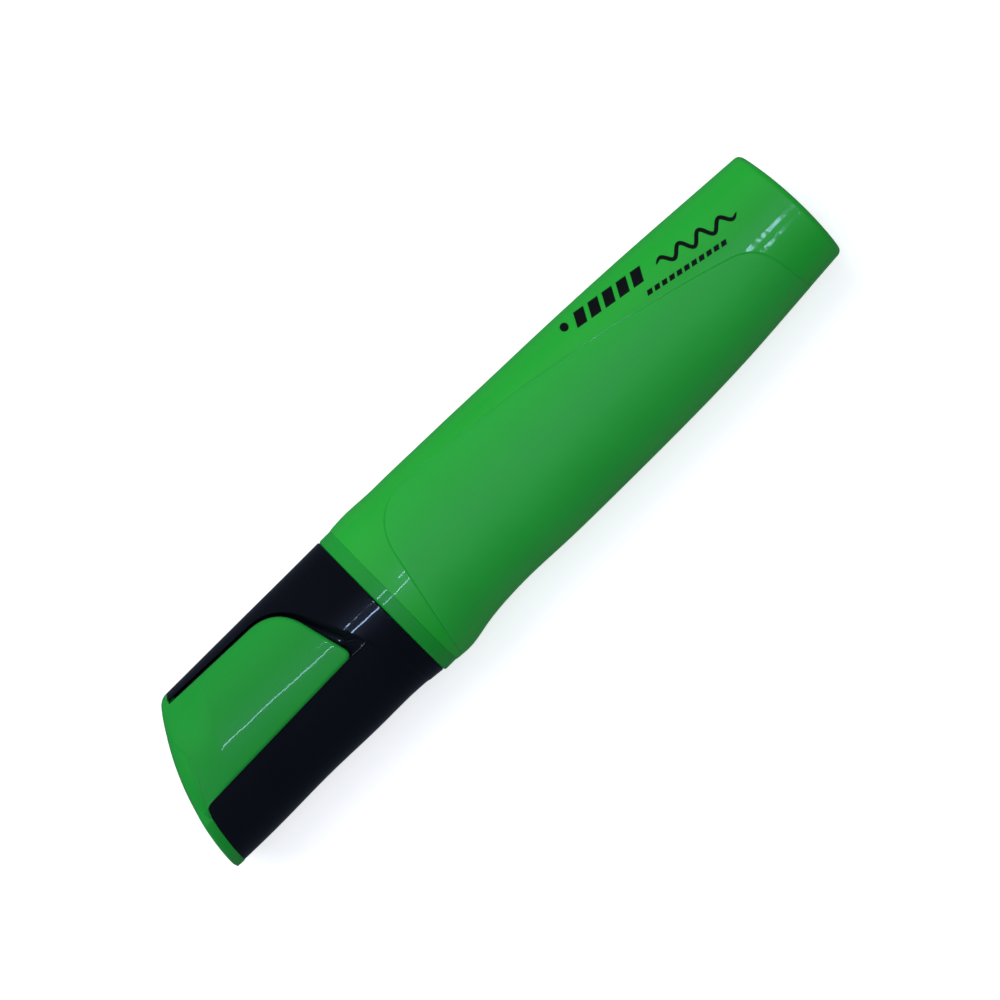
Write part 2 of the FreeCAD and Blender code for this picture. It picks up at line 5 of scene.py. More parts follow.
import bpy
import numpy as np
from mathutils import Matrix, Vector


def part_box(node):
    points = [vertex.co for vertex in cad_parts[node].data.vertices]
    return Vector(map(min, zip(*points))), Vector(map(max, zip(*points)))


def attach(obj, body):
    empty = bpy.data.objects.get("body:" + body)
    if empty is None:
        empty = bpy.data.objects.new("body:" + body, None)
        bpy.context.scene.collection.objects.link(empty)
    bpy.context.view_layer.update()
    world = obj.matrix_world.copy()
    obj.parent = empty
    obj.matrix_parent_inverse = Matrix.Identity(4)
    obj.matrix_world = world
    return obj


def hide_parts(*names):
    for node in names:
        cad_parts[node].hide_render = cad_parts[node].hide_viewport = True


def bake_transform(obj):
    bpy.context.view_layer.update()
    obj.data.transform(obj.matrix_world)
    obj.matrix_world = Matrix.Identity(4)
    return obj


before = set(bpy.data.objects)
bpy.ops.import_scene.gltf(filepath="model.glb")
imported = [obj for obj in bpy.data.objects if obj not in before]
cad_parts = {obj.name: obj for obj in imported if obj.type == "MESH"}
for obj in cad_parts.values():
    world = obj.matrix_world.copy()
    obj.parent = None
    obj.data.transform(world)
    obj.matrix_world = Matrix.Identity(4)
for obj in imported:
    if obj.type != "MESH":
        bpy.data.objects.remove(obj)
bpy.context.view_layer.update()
MM = 0.001
PI = math.pi

# ------------------------------------------------------------------ the pen's form, in millimetres

collar_low, collar_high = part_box("nose_section")
MID_HEIGHT = (collar_low.z + collar_high.z) / 2 / MM

# place along the pen, reach to the spine edge, reach to the belly edge, half thickness
BARREL_STATIONS = np.array([
    (-63.0, 9.85, 10.1, 6.5), (-52.0, 10.55, 10.95, 6.95), (-41.0, 11.25, 11.75, 7.4),
    (-30.0, 11.8, 12.1, 7.75), (-20.0, 12.15, 12.17, 7.9), (-11.0, 12.38, 12.15, 7.9),
    (-3.5, 12.6, 12.02, 7.9), (2.5, 12.73, 11.8, 7.9), (7.5, 12.84, 11.93, 8.0),
    (12.0, 12.92, 12.42, 8.15), (15.75, 13.1, 13.05, 8.3), (18.75, 12.93, 12.93, 8.2),
])
CAP_STATIONS = np.array([
    (21.05, 12.88, 12.62, 8.12), (25.5, 12.86, 12.22, 8.04), (33.0, 12.86, 12.16, 8.0),
    (43.0, 12.86, 11.95, 7.95), (53.0, 12.85, 12.1, 8.0), (63.5, 12.84, 11.95, 8.0),
])
BARREL_FRONT = 18.75
CAP_MOUTH = 21.05
# centre and radius of the end arcs, seen from above
TAIL_ARC = (8.0, 3.0, -70.0)
CAP_ARC = (17.3, 14.5, 45.0)
# barrel: rounded edges, wall, the grip's seat and the seam round it
TAIL_EDGE = 0.8
SEAM_DEPTH = 0.07
SEAM_LIP = 0.2
BARREL_MOUTH_EDGE = 0.12
BARREL_WALL = 1.6
GRIP_SEAT = 0.45
# cap and cover: rounded edges, walls, and the depths of the clip's channel and of the ledge
CAP_MOUTH_EDGE = 0.25
CAP_WALL = 2.2
CAP_END_WALL = 3.3
CHANNEL_DEPTH = 1.2
LEDGE = 0.09
COVER_EDGE = 0.85
FLANGE_DROP = 0.35
# the seat that the nose section's spigot enters: half width, half thickness, far end
CAP_SEAT = (11.0, 6.5, 26.0)
# clip: its two faces above the cap's form, its rounded edge, and its bend over the end
CLIP_HEIGHT = 0.9
CLIP_UNDER = -0.3
CLIP_EDGE = 0.5
CLIP_BEND = 2.2
# half way across the channel and the clip, and the x where their free ends fan out
STRIP_MIDDLE = -4.4
CHANNEL_FAN = 33.0
CLIP_FAN = 35.0


def smooth_through(places, values, x):
    """Natural cubic spline: second derivatives at the stations solve the usual banded system."""
    gap = np.diff(places)
    count = len(places)
    system = np.eye(count)
    right = np.zeros(count)
    inner = np.arange(1, count - 1)
    system[inner, inner - 1] = gap[:-1]
    system[inner, inner] = 2 * (gap[:-1] + gap[1:])
    system[inner, inner + 1] = gap[1:]
    slope = np.diff(values) / gap
    right[inner] = 6 * np.diff(slope)
    bend = np.linalg.solve(system, right)
    k = np.clip(np.searchsorted(places, x) - 1, 0, count - 2)
    before, after = places[k + 1] - x, x - places[k]
    h = gap[k]
    return (
        (bend[k] * before**3 + bend[k + 1] * after**3) / (6 * h)
        + (values[k] / h - bend[k] * h / 6) * before
        + (values[k + 1] / h - bend[k + 1] * h / 6) * after
    )


class Form:
    """An oval form: at each place x the section is an ellipse about (centre, mid height)."""

    def __init__(self, stations):
        self.stations = stations

    def section(self, x):
        """Half width, half thickness and sideways centre of the ellipse at x."""
        place, spine, belly, depth = self.stations.T
        spine, belly, depth = (smooth_through(place, v, x) for v in (spine, belly, depth))
        return (spine + belly) / 2, depth, (belly - spine) / 2

    def point(self, x, angle, out=0.0, scale=1.0):
        """(x, centre + width cos(angle), mid + thickness sin(angle)), moved outwards by out."""
        width, depth, centre = self.section(x)
        y = centre + (width + out) * scale * np.cos(angle)
        z = MID_HEIGHT + (depth + out) * scale * np.sin(angle)
        return np.stack(np.broadcast_arrays(x, y, z), -1)

    def angle_at(self, x, y, out=0.0):
        """The angle of the surface point above (x, y)."""
        width, _, centre = self.section(x)
        return np.arccos(np.clip((y - centre) / (width + out), -1, 1))

    def over(self, x, y, out=0.0):
        """The surface point above (x, y)."""
        width, depth, centre = self.section(x)
        rise = np.sqrt(np.clip(1 - ((y - centre) / (width + out)) ** 2, 0, 1))
        return np.stack(np.broadcast_arrays(x, y, MID_HEIGHT + (depth + out) * rise), -1)

    def end_place(self, arc, angle, inset, out=0.0, scale=1.0):
        """x where the section's point at an angle meets the end arc, moved in by inset."""
        x = np.zeros(np.broadcast(angle, inset).shape) + arc[0] + arc[2]
        side = np.sign(arc[2])
        for _ in range(4):
            width, _, centre = self.section(x)
            y = centre + (width + out) * scale * np.cos(angle)
            x = arc[0] + side * np.sqrt((abs(arc[2]) - inset) ** 2 - (y - arc[1]) ** 2)
        return x


BARREL = Form(BARREL_STATIONS)
CAP = Form(CAP_STATIONS)


# ------------------------------------------------------------------ outlines seen from above


def straight(start, end, count=60):
    """Points from start to end, evenly spaced."""
    t = np.linspace(0, 1, count)[:, None]
    return np.array(start) * (1 - t) + np.array(end) * t


def bulging(start, end, radius, count=240):
    """A shallow arc from start to end, bulging towards the spine."""
    start, end = np.array(start), np.array(end)
    chord = end - start
    length = np.hypot(*chord)
    inward = np.array([chord[1], -chord[0]]) / length
    centre = (start + end) / 2 + inward * math.sqrt(radius**2 - (length / 2) ** 2)
    first, last = (math.atan2(*(p - centre)[::-1]) for p in (start, end))
    if last > first:
        last -= 2 * PI
    angle = np.linspace(first, last, count)
    return centre + radius * np.stack([np.cos(angle), np.sin(angle)], -1)


def resampled(path, first, last, count):
    """count points along a path between two lengths measured from its start."""
    length = np.concatenate([[0], np.cumsum(np.hypot(*np.diff(path, axis=0).T))])
    at = np.linspace(first, length[-1] - last, count)
    return np.stack([np.interp(at, length, path[:, i]) for i in (0, 1)], -1)


def softened(sides, reaches, counts, bend_count=40):
    """Sides joined end to end, each corner replaced by a parabola between its two reaches."""
    reaches = [0, *reaches, 0]
    trimmed = [
        resampled(side, reaches[k], reaches[k + 1], counts[k]) for k, side in enumerate(sides)
    ]
    pieces = [trimmed[0]]
    t = np.linspace(0, 1, bend_count)[1:-1, None]
    for k in range(1, len(sides)):
        a, corner, b = trimmed[k - 1][-1], sides[k][0], trimmed[k][0]
        pieces += [(1 - t) ** 2 * a + 2 * t * (1 - t) * corner + t**2 * b, trimmed[k]]
    return np.concatenate(pieces)


def distance_to(path, points):
    """Shortest distance from points to a path, by projecting on the nearest two pieces of it."""
    flat = points.reshape(-1, 2).astype(np.float32)
    near = np.concatenate([
        ((part[:, None] - path[None].astype(np.float32)) ** 2).sum(-1).argmin(1)
        for part in np.array_split(flat, max(1, len(flat) // 4000))
    ])
    best = np.full(len(flat), np.inf)
    for step in (-1, 0):
        k = np.clip(near + step, 0, len(path) - 2)
        a, piece = path[k], path[k + 1] - path[k]
        t = np.clip(((flat - a) * piece).sum(1) / np.maximum((piece**2).sum(1), 1e-12), 0, 1)
        best = np.minimum(best, np.hypot(*(flat - a - piece * t[:, None]).T))
    return best.reshape(points.shape[:-1])


def ease(t):
    """0 below 0, 1 above 1, and 3t^2 - 2t^3 between."""
    t = np.clip(t, 0, 1)
    return t * t * (3 - 2 * t)


# ------------------------------------------------------------------ meshes


def grid_faces(points, wrap=False, poles=(False, False)):
    """The four corners of every cell of a grid, facing along the cross product of the way from row
    to row and from column to column. wrap joins the last row to the first; poles close the first
    and last column on their middle."""
    if wrap:
        points = np.concatenate([points, points[:1]])
    ends = [
        [np.broadcast_to(points[:, column].mean(0), points[:, :1].shape)] if pole else []
        for pole, column in zip(poles, (0, -1))
    ]
    p = np.concatenate([*ends[0], points, *ends[1]], 1)
    return np.stack([p[:-1, :-1], p[1:, :-1], p[1:, 1:], p[:-1, 1:]], 2).reshape(-1, 4, 3)


def lined_faces(front, back):
    """A closed sheet: the front grid, the back grid turned round, and a rim joining the two."""
    rows = np.concatenate([back[:1], front, back[-1:]])
    sides = np.concatenate([back[:1], back, back[-1:]])
    around = np.concatenate([sides[:, :1], rows, sides[:, -1:]], 1)
    return np.concatenate([grid_faces(around), grid_faces(back)[:, ::-1]])


def welded_mesh(name, corners, body=None, replaces=()):
    """A mesh from face corners in millimetres. Corners that agree to 0.1 micrometre become one
    point, and a face keeps only its different points."""
    keys = np.round(corners.reshape(-1, 3) * 1e4).astype(np.int64)
    _, first, point = np.unique(keys, axis=0, return_index=True, return_inverse=True)
    faces = []
    for quad in point.reshape(-1, 4).tolist():
        face = [corner for k, corner in enumerate(quad) if corner != quad[k - 1]]
        if len(face) > 2 and len(set(face)) == len(face):
            faces.append(face)
    mesh = bpy.data.meshes.new(name)
    mesh.from_pydata((corners.reshape(-1, 3)[first] * MM).tolist(), [], faces)
    mesh.polygons.foreach_set("use_smooth", np.ones(len(faces), bool))
    piece = bpy.data.objects.new(name, mesh)
    bpy.context.collection.objects.link(piece)
    if replaces:
        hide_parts(*replaces)
    if body:
        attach(piece, body)
    return piece


# ------------------------------------------------------------------ barrel and grip

GRIP_SIDES = [
    straight((18.0, 14.5), (12.8, -11.1), 160),
    bulging((12.8, -11.1), (-53.2, 1.0), 260.0),
    straight((-53.2, 1.0), (-55.5, 14.5), 120),
]
grip_outline = softened(GRIP_SIDES, (7.6, 4.2), (160, 400, 120), 90)
outline_angle = BARREL.angle_at(grip_outline[:, 0], grip_outline[:, 1])
inside = outline_angle > 0.02
grip_outline, outline_angle = grip_outline[inside], outline_angle[inside]
tip = int(outline_angle.argmax())
GRIP_TOP = outline_angle[tip] - 0.004
# the outline as lengths on the surface, for measuring distance from it
SURFACE_RADIUS = 10.4
flat_outline = np.stack([grip_outline[:, 0], outline_angle * SURFACE_RADIUS], -1)


def grip_edges(angle):
    """Where a line at this angle crosses the grip's tail side and its front side."""
    t = np.minimum(np.abs(angle), GRIP_TOP)
    front = np.maximum.accumulate(outline_angle[: tip + 1])
    tail = np.maximum.accumulate(outline_angle[tip:][::-1])
    return (
        np.interp(t, tail, grip_outline[tip:][::-1, 0]),
        np.interp(t, front, grip_outline[: tip + 1, 0]),
    )


def from_outline(x, angle):
    """Distance on the surface from a point to the grip's outline."""
    return distance_to(flat_outline, np.stack([x, np.abs(angle) * SURFACE_RADIUS], -1))


def crowded(count, power=1.0):
    """0 to 1 in count steps, closer together at both ends."""
    t = np.linspace(0, 1, count)
    return (1 - power) * t + power * (1 - np.cos(PI * t)) / 2


def barrel_shell():
    """Angle round the pen by length along it: end face, rounded edge, wall, rounded mouth, bore.
    The columns follow the grip's outline: at it there is a lip, inside it the wall drops into the
    seat."""
    quarter = GRIP_TOP * crowded(130, 0.6)
    rest = GRIP_TOP + (PI - GRIP_TOP) * np.linspace(0, 1, 30)[1:]
    half = np.concatenate([quarter, rest])
    angle = np.concatenate([half, -half[::-1][1:-1]])[:, None]
    tail_side, front_side = grip_edges(angle)

    turn = np.linspace(0, PI / 2, 10)[None]
    disc = np.linspace(0.02, 1, 14)[None]
    face_x = BARREL.end_place(TAIL_ARC, angle, 0 * disc, -TAIL_EDGE, disc)
    face = BARREL.point(face_x, angle, -TAIL_EDGE, disc)
    roll_out = TAIL_EDGE * (np.sin(turn) - 1)
    roll_x = BARREL.end_place(TAIL_ARC, angle, TAIL_EDGE * (1 - np.cos(turn)), roll_out)
    roll = BARREL.point(roll_x, angle, roll_out)

    def span(a, b, count, power=0.7):
        return a + (b - a) * crowded(count, power)[None]

    start = roll_x[:, -1:]
    x = np.concatenate(
        [
            span(start, tail_side, 50)[:, 1:],
            span(tail_side, front_side, 110)[:, 1:],
            span(front_side, BARREL_FRONT - BARREL_MOUTH_EDGE, 40)[:, 1:],
        ],
        1,
    )
    beside_grip = np.abs(angle) < GRIP_TOP - 1e-6
    inside_grip = (x > tail_side + 1e-6) & (x < front_side - 1e-6) & beside_grip
    distance = from_outline(x, np.broadcast_to(angle, x.shape))
    lip = -SEAM_DEPTH * (1 - ease(distance / SEAM_LIP))
    out = np.where(inside_grip, -GRIP_SEAT, lip)
    wall = BARREL.point(x, angle, out)

    mouth_turn = np.linspace(0, PI / 2, 6)[None, 1:]
    mouth_out = BARREL_MOUTH_EDGE * (np.cos(mouth_turn) - 1)
    rim_x = BARREL_FRONT + BARREL_MOUTH_EDGE * (np.sin(mouth_turn) - 1) + 0 * angle
    rim = BARREL.point(rim_x, angle, mouth_out)
    bore_end = BARREL.end_place(TAIL_ARC, angle, BARREL_WALL + 0 * angle, -BARREL_WALL)
    bore_x = BARREL_FRONT + (bore_end - BARREL_FRONT) * np.linspace(0, 1, 14)[None]
    bore = BARREL.point(bore_x, angle, -BARREL_WALL)
    return np.concatenate([face, roll, wall, rim, bore], 1)


def grip_skin():
    """Angle by length inside the outline: the outer face, flush with the barrel and rolled down
    along its edge, and the face that lies in the seat."""
    half = GRIP_TOP * crowded(130, 0.6)
    angle = np.concatenate([-half[::-1], half[1:]])[:, None]
    tail_side, front_side = grip_edges(angle)
    x = tail_side + (front_side - tail_side) * crowded(180, 0.85)[None]
    distance = from_outline(x, np.broadcast_to(angle, x.shape))
    out = -SEAM_DEPTH * (1 - np.sqrt(np.clip(1 - (1 - np.clip(distance / 0.35, 0, 1)) ** 2, 0, 1)))
    outer = BARREL.point(x, angle, out + 0.02 * ease(distance / 1.5))
    return outer, BARREL.point(x, angle, 0.03 - GRIP_SEAT)


# ------------------------------------------------------------------ cap, cover and clip

CHANNEL = softened(
    [
        straight((52.4, -11.97), (31.7, -11.3)),
        straight((31.7, -11.3), (25.4, 2.35)),
        straight((25.4, 2.35), (30.5, 1.95)),
        straight((30.5, 1.95), (58.9, 2.65)),
        straight((58.9, 2.65), (59.6, 6.0)),
    ],
    (5.0, 1.6, 2.2, 1.5),
    (267, 80, 24, 140, 8),
    50,
)


def left_of(path):
    """Unit normals of a path, to its left side."""
    along = np.gradient(path, axis=0)
    along /= np.hypot(*along.T)[:, None]
    return np.stack([-along[:, 1], along[:, 0]], -1)


def band_inset(angle):
    """Width of the green band on the cap's end: it narrows towards the spine."""
    return 1.0 + 0.7 * ease((np.cos(angle) + 1.0) / 0.45)


def nearest(path, place):
    """Index of the path's point nearest to a place."""
    return int(np.argmin(np.hypot(*(path - place).T)))


def mirrored(values):
    """The first half of a list, and then the same values backwards."""
    index = np.arange(len(values))
    return values[np.minimum(index, len(values) - 1 - index)]


def ordered(share):
    """Shares of the way to an end, kept in order: 1 on the first and last row, less between."""
    row = np.arange(len(share))
    from_end = np.minimum(row, len(share) - 1 - row)[:, None]
    return np.where(from_end == 0, 1.0, np.minimum(share, 1 - 2e-5 * from_end))


def cap_limit(angle):
    """x where the black shell meets the green band."""
    return CAP.end_place(CAP_ARC, angle, band_inset(angle) + 0.03)


def cap_faces():
    """Path round the clip's channel by distance from it: floor, wall, lip, then the oval form out
    to the line down the middle of the back or to the mouth. Places are shares of the way from the
    mouth to the band, so the first and last rows lie on the band. From the mouth the same rows go
    on as rounded lip, mouth face, seat, hollow and end wall."""
    count = len(CHANNEL)
    inward = -left_of(CHANNEL)
    first = nearest(CHANNEL, (31.7, -11.3))
    third = nearest(CHANNEL, (30.5, 1.95))
    second = count - 1 - first
    index = np.arange(count)
    # width of the wall and depth of its foot: narrow and deep beside the clip, broad and shallow in
    # front of its free end
    marks = [0, first - 30, first + 30, second - 20, second + 25, third + 10, count - 1]
    width = np.interp(index, marks, [0.35, 0.35, 1.2, 1.6, 1.5, 0.35, 0.35])[:, None]
    foot_depth = np.interp(index, marks, [1.2, 1.2, 0.8, 0.55, 0.3, 1.2, 1.2])[:, None]
    mouth_x = CAP_MOUTH + CAP_MOUTH_EDGE

    def share_of(x, y):
        return (x - mouth_x) / (cap_limit(CAP.angle_at(x, y)) - mouth_x)

    # floor and wall: from the channel's middle line to its edge
    wall_at = np.linspace(1, 0, 16)[None, :, None]
    edge_path = CHANNEL[:, None] + inward[:, None] * width[:, None] * wall_at
    edge_share = ordered(share_of(edge_path[..., 0], edge_path[..., 1]))
    middle_x = np.maximum(CHANNEL[:, :1], CHANNEL_FAN)
    middle_share = ordered(mirrored(share_of(middle_x, STRIP_MIDDLE)))
    spread = np.linspace(0, 1, 14)[None, :-1]
    floor_share = middle_share * (1 - spread) + edge_share[:, :1] * spread
    floor_y = STRIP_MIDDLE * (1 - spread) + edge_path[:, :1, 1] * spread
    share = np.concatenate([floor_share, edge_share], 1)
    y = np.concatenate([floor_y, edge_path[..., 1]], 1)
    floor_depth = CHANNEL_DEPTH + (foot_depth - CHANNEL_DEPTH) * ease((spread - 0.35) / 0.55)
    wall_depth = foot_depth * (1 - ease(np.linspace(0, 1, 16))[None])
    x = mouth_x + 30.0 * share
    for _ in range(4):
        x = mouth_x + share * (cap_limit(CAP.angle_at(x, y)) - mouth_x)
    inner = CAP.over(x, y, -np.concatenate([floor_depth, wall_depth], 1))

    # outside
    start_angle = CAP.angle_at(x[:, -1:], y[:, -1:])
    back_spine, back_belly = 1.5 * PI, -0.5 * PI
    rows = [0, first, second, count - 1]
    far_share = np.interp(index, rows, [1, 0, 0, 1])[:, None]
    far_angle = np.interp(index, rows, [back_spine] * 2 + [back_belly] * 2)[:, None]
    t = (np.linspace(0, 1, 76) ** 1.35)[None, 1:]
    angle = start_angle * (1 - t) + far_angle * t
    outer_share = share[:, -1:] * (1 - t) + far_share * t
    x = mouth_x + outer_share * (cap_limit(angle) - mouth_x)
    # on the belly side the channel's front lip goes on round the cap as a low ledge
    y = CAP.section(x)[2] + CAP.section(x)[0] * np.cos(angle)
    behind_ledge = ease((x + 0.193 * y - 25.75) / 0.6) * ease((y - 1.2) / 2.2)
    outer = CAP.point(x, angle, -LEDGE * behind_ledge)

    # the shell's end is closed behind the band
    end_middle = (CAP_ARC[0] + CAP_ARC[2] - 3.0, 0.0, MID_HEIGHT)
    pole = np.broadcast_to(end_middle, (1, 1, 3))
    shell = np.concatenate([inner, outer], 1)
    closing = np.repeat(pole, shell.shape[1], 1)
    shell = np.concatenate([closing, shell, closing])
    lining = cap_lining(far_angle[first : second + 1])
    return np.concatenate([grid_faces(shell), grid_faces(lining, poles=(False, True))])


def cap_lining(angle):
    """Angle round the pen by a profile: rounded mouth, mouth face, seat, hollow and end wall."""
    turn = np.linspace(0, PI / 2, 6)[None]
    mouth_x = CAP_MOUTH + CAP_MOUTH_EDGE * (1 - np.sin(turn)) + 0 * angle
    mouth = CAP.point(mouth_x, angle, CAP_MOUTH_EDGE * (np.cos(turn) - 1))
    seat_width, seat_depth, seat_end = CAP_SEAT
    chamfer = 0.3
    seat_x = np.array([[CAP_MOUTH, CAP_MOUTH + chamfer, seat_end - 0.1, seat_end]]) + 0 * angle
    seat_out = np.array([[chamfer, 0, 0, 0]])
    seat = np.stack(
        [
            seat_x,
            (seat_width + seat_out) * np.cos(angle),
            MID_HEIGHT + (seat_depth + seat_out) * np.sin(angle),
        ],
        -1,
    )
    hollow_x = np.linspace(seat_end, 50.0, 20)[None] + 0 * angle
    hollow = CAP.point(hollow_x, angle, -CAP_WALL)
    closing = np.concatenate([[1.0], np.linspace(0.9, 0.05, 8)])[None]
    wall_x = CAP.end_place(CAP_ARC, angle, CAP_END_WALL + 0 * closing, -CAP_WALL, closing)
    wall = CAP.point(wall_x, angle, -CAP_WALL, closing)
    return np.concatenate([mouth, seat, hollow, wall], 1)


def end_cover():
    """Angle round the pen by a profile: back, flange under the shell, band, rounded edge, end face.
    Where the clip grows out of it the edge is rounded more, and lies a little below the strip."""
    angle = np.linspace(-PI, PI, 361)[:-1][:, None]
    under_clip = ease((angle - 1.12) / 0.22) * ease((2.72 - angle) / 0.2)
    edge = COVER_EDGE + 1.35 * under_clip
    sunk = -0.15 * ease(3 * under_clip)
    inner = np.maximum(band_inset(angle), edge + 0.3) + 0.02
    in_channel = ease((angle - 1.0) / 0.2) * ease((2.98 - angle) / 0.1)
    reach = 0.9 * (1 - in_channel) + 0.05
    back_disc = np.linspace(0.02, 1, 10)[None]
    back_inset = 2.2 + (inner + reach - 2.2) * back_disc**2
    back_x = CAP.end_place(CAP_ARC, angle, back_inset, sunk - FLANGE_DROP, back_disc)
    back = CAP.point(back_x, angle, sunk - FLANGE_DROP, back_disc)
    inner_x = CAP.end_place(CAP_ARC, angle, inner)
    foot = CAP.point(inner_x, angle, sunk - FLANGE_DROP)
    lip = CAP.point(inner_x, angle, sunk - 0.05)
    band_at = np.linspace(1, 0, 5)[None]
    band_place = edge + (inner - 0.1 - edge) * band_at
    band = CAP.point(CAP.end_place(CAP_ARC, angle, band_place), angle, sunk + 0 * band_at)
    turn = np.linspace(0, PI / 2, 10)[None, 1:]
    roll_out = sunk + edge * (np.cos(turn) - 1)
    roll_inset = 0.05 + (edge - 0.05) * (1 - np.sin(turn))
    roll = CAP.point(CAP.end_place(CAP_ARC, angle, roll_inset, roll_out), angle, roll_out)
    disc = np.linspace(1, 0.02, 14)[None, 1:]
    face_x = CAP.end_place(CAP_ARC, angle, 0 * disc + 0.05, roll_out[:, -1:], disc)
    face = CAP.point(face_x, angle, roll_out[:, -1:], disc)
    return np.concatenate([back, foot, lip, band, roll, face], 1)


CLIP_PATH = softened(
    [
        straight((55.6, -11.53), (31.9, -10.8)),
        straight((31.9, -10.8), (28.6, 2.0)),
        straight((28.6, 2.0), (59.2, 2.85)),
        straight((59.2, 2.85), (62.0, 12.0)),
    ],
    (5.0, 1.5, 1.5),
    (200, 80, 136, 16),
    50,
)


def end_arc(y):
    """x of the cap's end arc at y."""
    return CAP_ARC[0] + np.sqrt(CAP_ARC[2] ** 2 - (y - CAP_ARC[1]) ** 2)


def clip_faces():
    """Path round the clip by a profile: middle of the outer face, out to the rounded edge, down the
    side and back under to the middle. Places are shares of the way from the fan to the end of the
    strip. The crown leans to the belly, the strip falls level with the cover near its end, and past
    the bend it rolls over that end."""
    inward = -left_of(CLIP_PATH)
    count = len(CLIP_PATH)
    # how far along the strip goes before and round the bend, and 0.3 down the end face
    reach = CLIP_BEND * (PI / 2 - 1) + 0.3

    def share_of(x, y):
        return (x - CLIP_FAN) / (end_arc(y) + reach - CLIP_FAN)

    turn = np.linspace(0, PI / 2, 9)
    low = 0.15
    low_turn = turn[1::2]
    inset = np.concatenate([CLIP_EDGE * (1 - np.sin(turn)), [0.0], low * (1 - np.cos(low_turn))])
    rim_out = np.concatenate(
        [CLIP_HEIGHT - CLIP_EDGE * (1 - np.cos(turn)), [-0.1], -low - low * np.sin(low_turn)]
    )
    rim = CLIP_PATH[:, None] + inward[:, None] * inset[None, :, None]
    rim_share = share_of(rim[..., 0], rim[..., 1])
    middle_share = share_of(np.maximum(CLIP_PATH[:, :1], CLIP_FAN), STRIP_MIDDLE)
    rim_share[0] = 1.0
    middle_share[0] = 1.0
    middle_share = mirrored(np.minimum(middle_share, 1 - 2e-5 * np.arange(count)[:, None]))
    across = np.linspace(0, 1, 22)[None, :-1]
    under_across = np.linspace(1, 0, 10)[None, 1:]
    share = np.concatenate(
        [
            middle_share * (1 - across) + rim_share[:, :1] * across,
            rim_share,
            middle_share * (1 - under_across) + rim_share[:, -1:] * under_across,
        ],
        1,
    )
    y = np.concatenate(
        [
            STRIP_MIDDLE * (1 - across) + rim[:, :1, 1] * across,
            rim[..., 1],
            STRIP_MIDDLE * (1 - under_across) + rim[:, -1:, 1] * under_across,
        ],
        1,
    )
    x = CLIP_FAN + share * (end_arc(y) + reach - CLIP_FAN)
    # on the belly side the edge stands just clear of the cap's surface
    clear = 0.36 * ease((CLIP_PATH[:, 1:] + 0.5) / 2.0)
    rim_out = np.where(rim_out < 0, np.maximum(rim_out + clear, CLIP_UNDER), rim_out)
    under_out = CLIP_UNDER + clear * under_across
    out = np.concatenate([np.full((count, 21), CLIP_HEIGHT), rim_out, under_out], 1)
    limit = end_arc(y)
    level = ease((x - limit + 8.2) / 6.4)
    slope = 0.03 + 0.0018 * (x - 30.0)
    lean = slope * (y - STRIP_MIDDLE) * np.clip(out / CLIP_HEIGHT, 0, 1)
    out = np.where(out > 0.1, (out - lean) * (1 - level) + 0.03 * level, out)

    # roll over the end: length past the bend becomes a quarter turn and then a drop
    past = np.maximum(x - (limit - CLIP_BEND), 0)
    turned = np.minimum(past / CLIP_BEND, PI / 2)
    rolled_x = np.where(past > 0, limit - CLIP_BEND + CLIP_BEND * np.sin(turned), x)
    rolled_x = rolled_x - 0.09 * ease((turned - 1.1) / 0.45)
    drop = CLIP_BEND * (1 - np.cos(turned)) + np.maximum(past - CLIP_BEND * PI / 2, 0)
    points = CAP.over(np.minimum(rolled_x, 63.4), y, out)
    points[..., 2] -= drop
    inside = np.broadcast_to((points[0].mean(0) + points[-1].mean(0)) / 2, points[:1].shape)
    return grid_faces(np.concatenate([inside, points, inside]))


def printed_bar(start, end, width, slant=0.35):
    """Length by width: a bar between two points, its ends cut at a slant."""
    start, end = np.array(start), np.array(end)
    along = (end - start) / np.hypot(*(end - start))
    side = np.array([-along[1], along[0]])
    t = np.linspace(0, 1, 12)[:, None, None]
    across = np.linspace(-0.5, 0.5, 9)[None, :, None]
    return start * (1 - t) + end * t + (side + along * slant) * across * width


def printed_row(start, end, count, gap, width):
    """Bars in a row: the way from start to end is shared into count bars with gaps between them."""
    start, end = np.array(start), np.array(end)
    step = (end - start) / count
    return [
        printed_bar(start + step * k, start + step * (k + 1 - gap), width) for k in range(count)
    ]


def printed_wave(start, end, height, turns, width):
    """Length by width: a sine wave along a line, thinning to nothing at both its ends."""
    start, end = np.array(start), np.array(end)
    along = (end - start) / np.hypot(*(end - start))
    side = np.array([-along[1], along[0]])
    t = np.linspace(0, 1, 260)[:, None]
    swing = height * np.sin(2 * PI * turns * t) * np.sin(PI * t) ** 0.3
    line = start * (1 - t) + end * t + side * swing
    across = np.linspace(-0.5, 0.5, 5)[None, :, None]
    body = np.clip(np.minimum(t, 1 - t) * 12, 0.05, 1) ** 0.5
    return line[:, None] + left_of(line)[:, None] * across * width * body[:, None]


def printed_dot(centre, radius):
    """Length by width: a disc, narrowed to a point at both its ends."""
    t = np.linspace(-PI / 2, PI / 2, 33)[:, None]
    across = np.linspace(-1, 1, 9)[None]
    return np.array(centre) + radius * np.stack(
        np.broadcast_arrays(np.sin(t), np.cos(t) * across), -1
    )


# ------------------------------------------------------------------ build

welded_mesh("barrel_shell", grid_faces(barrel_shell(), wrap=True, poles=(True, True)), "pen",
            ("barrel",))
welded_mesh("grip_skin", lined_faces(*grip_skin()), "pen", ("grip",))
welded_mesh("cap_shell", cap_faces(), "cap", ("cap",))
welded_mesh("end_cover", grid_faces(end_cover(), wrap=True, poles=(True, True)), "cap",
            ("cap_cover",))
clip = welded_mesh("clip_strip", clip_faces(), None, ("clip",))
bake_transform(clip)

